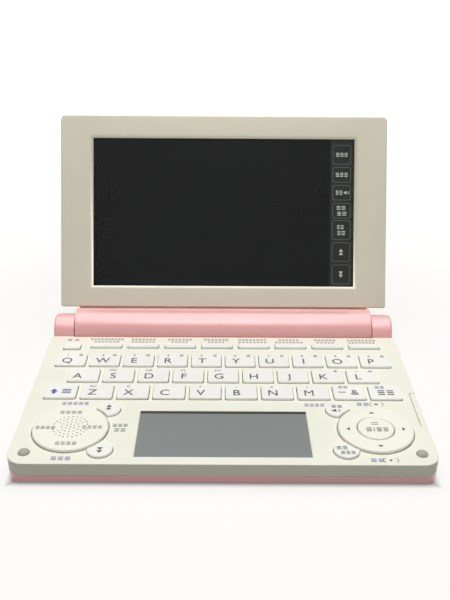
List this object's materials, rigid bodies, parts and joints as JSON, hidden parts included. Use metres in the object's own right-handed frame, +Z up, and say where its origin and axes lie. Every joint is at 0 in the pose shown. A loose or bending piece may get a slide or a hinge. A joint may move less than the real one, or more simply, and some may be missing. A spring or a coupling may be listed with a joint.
{
  "type": "electronic dictionary",
  "caption": "Clamshell handheld dictionary with a wide screen in a hinged lid, a keyboard, a handwriting panel and two rocking dials in its base.",
  "frame": {"origin": "centre of the base, on the surface that its rubber feet stand on", "axes": "+X to the user's right along the hinge, +Y from the front edge to the hinge, +Z up"},
  "size_m": [0.148, 0.1422, 0.0932],
  "materials": {
    "ivory_case": "fine satin moulded plastic",
    "pink_case": "pearl pink paint under clear lacquer",
    "champagne_bezel": "champagne pearl paint, satin",
    "keycap": "satin moulded plastic with printed legends",
    "dial": "satin pearl plastic",
    "screen_glass": "smooth black-bordered touch glass",
    "display": "display and backlight in a plastic tray",
    "handwriting_panel": "grey reflective panel under a clear touch sheet",
    "circuit_board": "circuit board on a metal stiffening plate",
    "speaker_cone": "black speaker in a plastic basket",
    "rubber": "matt grey rubber",
    "steel": "zinc-plated steel",
    "cell": "plain printed sleeve"
  },
  "bodies": {
    "base": {"base_upper_case": "ivory_case", "base_lower_case": "pink_case", "main_board": "circuit_board", "speaker": "speaker_cone", "handwriting_panel": "handwriting_panel", "rubber_pads": "rubber", "case_screws": "steel", "hinge_pins": "steel"},
    "lid": {"lid_bezel": "champagne_bezel", "lid_back_cover": "pink_case", "screen_glass": "screen_glass", "display_module": "display", "battery_cells": "cell"},
    "battery_cover": {"battery_cover": "pink_case"},
    "stylus": {"stylus": "keycap"},
    "speaker_dial": {"speaker_dial": "dial"},
    "arrow_ring": {"arrow_ring": "dial"},
    "enter_key": {"enter_key": "dial"},
    "page_up_key": {"page_up_key": "keycap"},
    "page_down_key": {"page_down_key": "keycap"},
    "voice_key": {"voice_key": "keycap"},
    "back_key": {"back_key": "keycap"},
    "key_shift": {"key_shift": "keycap"},
    "key_z": {"key_z": "keycap"},
    "key_x": {"key_x": "keycap"},
    "key_c": {"key_c": "keycap"},
    "key_v": {"key_v": "keycap"},
    "key_b": {"key_b": "keycap"},
    "key_n": {"key_n": "keycap"},
    "key_m": {"key_m": "keycap"},
    "key_dash": {"key_dash": "keycap"},
    "key_delete": {"key_delete": "keycap"},
    "key_a": {"key_a": "keycap"},
    "key_s": {"key_s": "keycap"},
    "key_d": {"key_d": "keycap"},
    "key_f": {"key_f": "keycap"},
    "key_g": {"key_g": "keycap"},
    "key_h": {"key_h": "keycap"},
    "key_j": {"key_j": "keycap"},
    "key_k": {"key_k": "keycap"},
    "key_l": {"key_l": "keycap"},
    "key_q": {"key_q": "keycap"},
    "key_w": {"key_w": "keycap"},
    "key_e": {"key_e": "keycap"},
    "key_r": {"key_r": "keycap"},
    "key_t": {"key_t": "keycap"},
    "key_y": {"key_y": "keycap"},
    "key_u": {"key_u": "keycap"},
    "key_i": {"key_i": "keycap"},
    "key_o": {"key_o": "keycap"},
    "key_p": {"key_p": "keycap"},
    "subject_key_1": {"subject_key_1": "keycap"},
    "subject_key_2": {"subject_key_2": "keycap"},
    "subject_key_3": {"subject_key_3": "keycap"},
    "subject_key_4": {"subject_key_4": "keycap"},
    "subject_key_5": {"subject_key_5": "keycap"},
    "subject_key_6": {"subject_key_6": "keycap"},
    "subject_key_7": {"subject_key_7": "keycap"},
    "subject_key_8": {"subject_key_8": "keycap"},
    "power_key": {"power_key": "keycap"}
  },
  "joints": [
    {"name": "lid_hinge", "type": "hinge", "parent": "base", "child": "lid", "pos_m": [0, 0.0436, 0.0091], "axis": [1, 0, 0], "range_deg": [-35, 115]},
    {"name": "battery_cover_slide", "type": "slide", "parent": "lid", "child": "battery_cover", "axis": [1, 0, 0], "range_m": [0, 0.0025]},
    {"name": "stylus_slide", "type": "slide", "parent": "base", "child": "stylus", "axis": [1, 0, 0], "range_m": [0, 0.008]},
    {"name": "speaker_dial_rock", "type": "hinge", "parent": "base", "child": "speaker_dial", "pos_m": [-0.0547, -0.0324, 0.00646], "axis": [1, 0, 0], "range_deg": [-2.5, 2.5], "stiffness_Nm_per_rad": 0.15},
    {"name": "arrow_ring_rock", "type": "hinge", "parent": "base", "child": "arrow_ring", "pos_m": [0.0547, -0.0324, 0.00646], "axis": [1, 0, 0], "range_deg": [-2.5, 2.5], "stiffness_Nm_per_rad": 0.15},
    {"name": "enter_key_press", "type": "slide", "parent": "base", "child": "enter_key", "axis": [0, 0, -1], "range_m": [0, 0.0006], "stiffness_N_per_m": 800},
    {"name": "page_up_key_press", "type": "slide", "parent": "base", "child": "page_up_key", "axis": [0, 0, -1], "range_m": [0, 0.0006], "stiffness_N_per_m": 800},
    {"name": "page_down_key_press", "type": "slide", "parent": "base", "child": "page_down_key", "axis": [0, 0, -1], "range_m": [0, 0.0006], "stiffness_N_per_m": 800},
    {"name": "voice_key_press", "type": "slide", "parent": "base", "child": "voice_key", "axis": [0, 0, -1], "range_m": [0, 0.0006], "stiffness_N_per_m": 800},
    {"name": "back_key_press", "type": "slide", "parent": "base", "child": "back_key", "axis": [0, 0, -1], "range_m": [0, 0.0006], "stiffness_N_per_m": 800},
    {"name": "subject_key_1_press", "type": "slide", "parent": "base", "child": "subject_key_1", "axis": [0, 0, -1], "range_m": [0, 0.0006], "stiffness_N_per_m": 800},
    {"name": "subject_key_2_press", "type": "slide", "parent": "base", "child": "subject_key_2", "axis": [0, 0, -1], "range_m": [0, 0.0006], "stiffness_N_per_m": 800},
    {"name": "subject_key_3_press", "type": "slide", "parent": "base", "child": "subject_key_3", "axis": [0, 0, -1], "range_m": [0, 0.0006], "stiffness_N_per_m": 800},
    {"name": "subject_key_4_press", "type": "slide", "parent": "base", "child": "subject_key_4", "axis": [0, 0, -1], "range_m": [0, 0.0006], "stiffness_N_per_m": 800},
    {"name": "subject_key_5_press", "type": "slide", "parent": "base", "child": "subject_key_5", "axis": [0, 0, -1], "range_m": [0, 0.0006], "stiffness_N_per_m": 800},
    {"name": "subject_key_6_press", "type": "slide", "parent": "base", "child": "subject_key_6", "axis": [0, 0, -1], "range_m": [0, 0.0006], "stiffness_N_per_m": 800},
    {"name": "subject_key_7_press", "type": "slide", "parent": "base", "child": "subject_key_7", "axis": [0, 0, -1], "range_m": [0, 0.0006], "stiffness_N_per_m": 800},
    {"name": "subject_key_8_press", "type": "slide", "parent": "base", "child": "subject_key_8", "axis": [0, 0, -1], "range_m": [0, 0.0006], "stiffness_N_per_m": 800},
    {"name": "power_key_press", "type": "slide", "parent": "base", "child": "power_key", "axis": [0, 0, -1], "range_m": [0, 0.0006], "stiffness_N_per_m": 800},
    {"name": "key_shift_press", "type": "slide", "parent": "base", "child": "key_shift", "axis": [0, 0, -1], "range_m": [0, 0.0008], "stiffness_N_per_m": 700},
    {"name": "key_z_press", "type": "slide", "parent": "base", "child": "key_z", "axis": [0, 0, -1], "range_m": [0, 0.0008], "stiffness_N_per_m": 700},
    {"name": "key_x_press", "type": "slide", "parent": "base", "child": "key_x", "axis": [0, 0, -1], "range_m": [0, 0.0008], "stiffness_N_per_m": 700},
    {"name": "key_c_press", "type": "slide", "parent": "base", "child": "key_c", "axis": [0, 0, -1], "range_m": [0, 0.0008], "stiffness_N_per_m": 700},
    {"name": "key_v_press", "type": "slide", "parent": "base", "child": "key_v", "axis": [0, 0, -1], "range_m": [0, 0.0008], "stiffness_N_per_m": 700},
    {"name": "key_b_press", "type": "slide", "parent": "base", "child": "key_b", "axis": [0, 0, -1], "range_m": [0, 0.0008], "stiffness_N_per_m": 700},
    {"name": "key_n_press", "type": "slide", "parent": "base", "child": "key_n", "axis": [0, 0, -1], "range_m": [0, 0.0008], "stiffness_N_per_m": 700},
    {"name": "key_m_press", "type": "slide", "parent": "base", "child": "key_m", "axis": [0, 0, -1], "range_m": [0, 0.0008], "stiffness_N_per_m": 700},
    {"name": "key_dash_press", "type": "slide", "parent": "base", "child": "key_dash", "axis": [0, 0, -1], "range_m": [0, 0.0008], "stiffness_N_per_m": 700},
    {"name": "key_delete_press", "type": "slide", "parent": "base", "child": "key_delete", "axis": [0, 0, -1], "range_m": [0, 0.0008], "stiffness_N_per_m": 700},
    {"name": "key_a_press", "type": "slide", "parent": "base", "child": "key_a", "axis": [0, 0, -1], "range_m": [0, 0.0008], "stiffness_N_per_m": 700},
    {"name": "key_s_press", "type": "slide", "parent": "base", "child": "key_s", "axis": [0, 0, -1], "range_m": [0, 0.0008], "stiffness_N_per_m": 700},
    {"name": "key_d_press", "type": "slide", "parent": "base", "child": "key_d", "axis": [0, 0, -1], "range_m": [0, 0.0008], "stiffness_N_per_m": 700},
    {"name": "key_f_press", "type": "slide", "parent": "base", "child": "key_f", "axis": [0, 0, -1], "range_m": [0, 0.0008], "stiffness_N_per_m": 700},
    {"name": "key_g_press", "type": "slide", "parent": "base", "child": "key_g", "axis": [0, 0, -1], "range_m": [0, 0.0008], "stiffness_N_per_m": 700},
    {"name": "key_h_press", "type": "slide", "parent": "base", "child": "key_h", "axis": [0, 0, -1], "range_m": [0, 0.0008], "stiffness_N_per_m": 700},
    {"name": "key_j_press", "type": "slide", "parent": "base", "child": "key_j", "axis": [0, 0, -1], "range_m": [0, 0.0008], "stiffness_N_per_m": 700},
    {"name": "key_k_press", "type": "slide", "parent": "base", "child": "key_k", "axis": [0, 0, -1], "range_m": [0, 0.0008], "stiffness_N_per_m": 700},
    {"name": "key_l_press", "type": "slide", "parent": "base", "child": "key_l", "axis": [0, 0, -1], "range_m": [0, 0.0008], "stiffness_N_per_m": 700},
    {"name": "key_q_press", "type": "slide", "parent": "base", "child": "key_q", "axis": [0, 0, -1], "range_m": [0, 0.0008], "stiffness_N_per_m": 700},
    {"name": "key_w_press", "type": "slide", "parent": "base", "child": "key_w", "axis": [0, 0, -1], "range_m": [0, 0.0008], "stiffness_N_per_m": 700},
    {"name": "key_e_press", "type": "slide", "parent": "base", "child": "key_e", "axis": [0, 0, -1], "range_m": [0, 0.0008], "stiffness_N_per_m": 700},
    {"name": "key_r_press", "type": "slide", "parent": "base", "child": "key_r", "axis": [0, 0, -1], "range_m": [0, 0.0008], "stiffness_N_per_m": 700},
    {"name": "key_t_press", "type": "slide", "parent": "base", "child": "key_t", "axis": [0, 0, -1], "range_m": [0, 0.0008], "stiffness_N_per_m": 700},
    {"name": "key_y_press", "type": "slide", "parent": "base", "child": "key_y", "axis": [0, 0, -1], "range_m": [0, 0.0008], "stiffness_N_per_m": 700},
    {"name": "key_u_press", "type": "slide", "parent": "base", "child": "key_u", "axis": [0, 0, -1], "range_m": [0, 0.0008], "stiffness_N_per_m": 700},
    {"name": "key_i_press", "type": "slide", "parent": "base", "child": "key_i", "axis": [0, 0, -1], "range_m": [0, 0.0008], "stiffness_N_per_m": 700},
    {"name": "key_o_press", "type": "slide", "parent": "base", "child": "key_o", "axis": [0, 0, -1], "range_m": [0, 0.0008], "stiffness_N_per_m": 700},
    {"name": "key_p_press", "type": "slide", "parent": "base", "child": "key_p", "axis": [0, 0, -1], "range_m": [0, 0.0008], "stiffness_N_per_m": 700}
  ]
}
